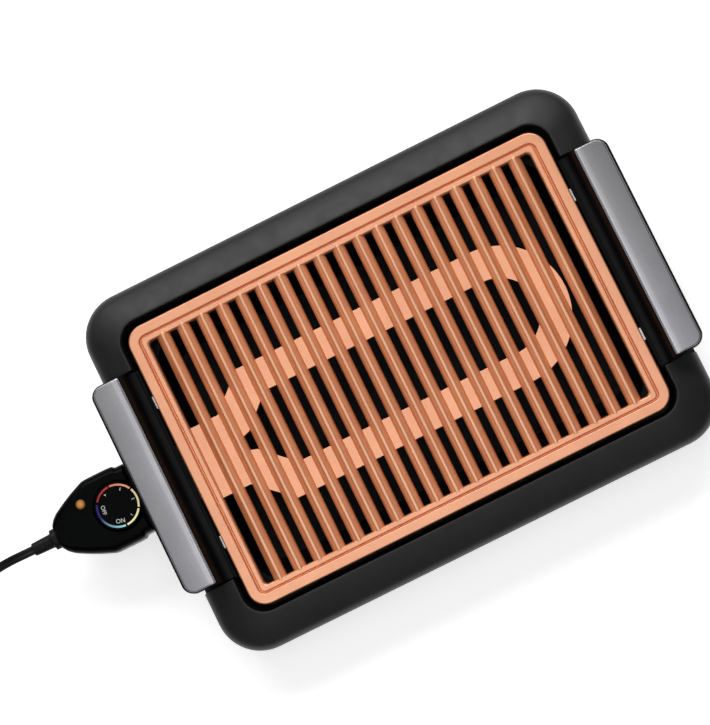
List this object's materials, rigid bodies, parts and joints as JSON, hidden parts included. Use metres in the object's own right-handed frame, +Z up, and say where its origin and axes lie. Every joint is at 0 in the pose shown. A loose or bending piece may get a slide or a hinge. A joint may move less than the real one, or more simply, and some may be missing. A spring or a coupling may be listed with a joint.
{
  "type": "smokeless indoor grill",
  "caption": "Indoor electric grill: slotted copper-coloured cast plate with raised handles in a black base, over a lift-out drip tray, with a plug-in dial controller on a short cord.",
  "frame": {"origin": "on the standing surface, at the middle of the bounding box of the grill with its controller plugged in, without the free cord, coil, plug and strain relief", "axes": "+X along the grill's long side, away from the controller; +Y to its far side; +Z up"},
  "size_m": [0.835, 0.3624, 0.0942],
  "materials": {
    "satin_black_plastic": "satin moulded",
    "gloss_black_plastic": "polished",
    "gunmetal_strip": "glossy dark grey metallic",
    "black_phenolic": "matt, heat resistant",
    "black_rubber": "matt",
    "black_pvc": "satin flexible",
    "copper_nonstick": "copper-coloured non-stick coating, fine grained",
    "dark_tray_coating": "dark non-stick coating",
    "stainless_steel": "brushed",
    "brass": "bright",
    "white_ceramic": "matt",
    "amber_lens": "clear tinted",
    "lamp_glass": "clear"
  },
  "bodies": {
    "base": {"base_housing": "satin_black_plastic", "foot_1": "black_rubber", "foot_2": "black_rubber", "foot_3": "black_rubber", "foot_4": "black_rubber"},
    "tray": {"drip_tray": "dark_tray_coating"},
    "plate": {"bracket_screw_1": "stainless_steel", "bracket_screw_2": "stainless_steel", "bracket_screw_3": "stainless_steel", "bracket_screw_4": "stainless_steel", "grill_plate": "copper_nonstick", "handle_bracket_1": "stainless_steel", "handle_bracket_2": "stainless_steel", "handle_bracket_3": "stainless_steel", "handle_bracket_4": "stainless_steel", "handle_cap_left": "gunmetal_strip", "handle_cap_right": "gunmetal_strip", "handle_left": "satin_black_plastic", "handle_right": "satin_black_plastic", "heating_element": "stainless_steel", "terminal_guard": "dark_tray_coating", "terminal_insulator_1": "white_ceramic", "terminal_insulator_2": "white_ceramic", "terminal_pin_1": "stainless_steel", "terminal_pin_2": "stainless_steel"},
    "controller": {"contact_sleeve_1": "brass", "contact_sleeve_2": "brass", "controller_bottom": "gloss_black_plastic", "controller_screw_1": "stainless_steel", "controller_screw_2": "stainless_steel", "controller_top": "gloss_black_plastic", "cord_coil": "black_pvc", "cord_stretch": "black_pvc", "indicator_lens": "amber_lens", "neon_lamp": "lamp_glass", "nose_block": "black_phenolic", "plug_blade_1": "brass", "plug_blade_2": "brass", "plug_body": "black_pvc", "strain_relief": "black_pvc", "temperature_probe": "stainless_steel", "thermostat_switch": "white_ceramic"},
    "dial": {"dial_knob": "gloss_black_plastic", "dial_shaft": "stainless_steel"}
  },
  "joints": [
    {"name": "tray_lift", "type": "slide", "parent": "base", "child": "tray", "axis": [0, 0, 1], "range_m": [0, 0.12]},
    {"name": "plate_lift", "type": "slide", "parent": "tray", "child": "plate", "axis": [0, 0, 1], "range_m": [0, 0.12]},
    {"name": "controller_unplug", "type": "slide", "parent": "plate", "child": "controller", "axis": [-1, 0, 0], "range_m": [0, 0.08]},
    {"name": "dial_turn", "type": "hinge", "parent": "controller", "child": "dial", "pos_m": [-0.24335, 0, 0.0741], "axis": [0, 0, -1], "range_deg": [0, 285]}
  ]
}
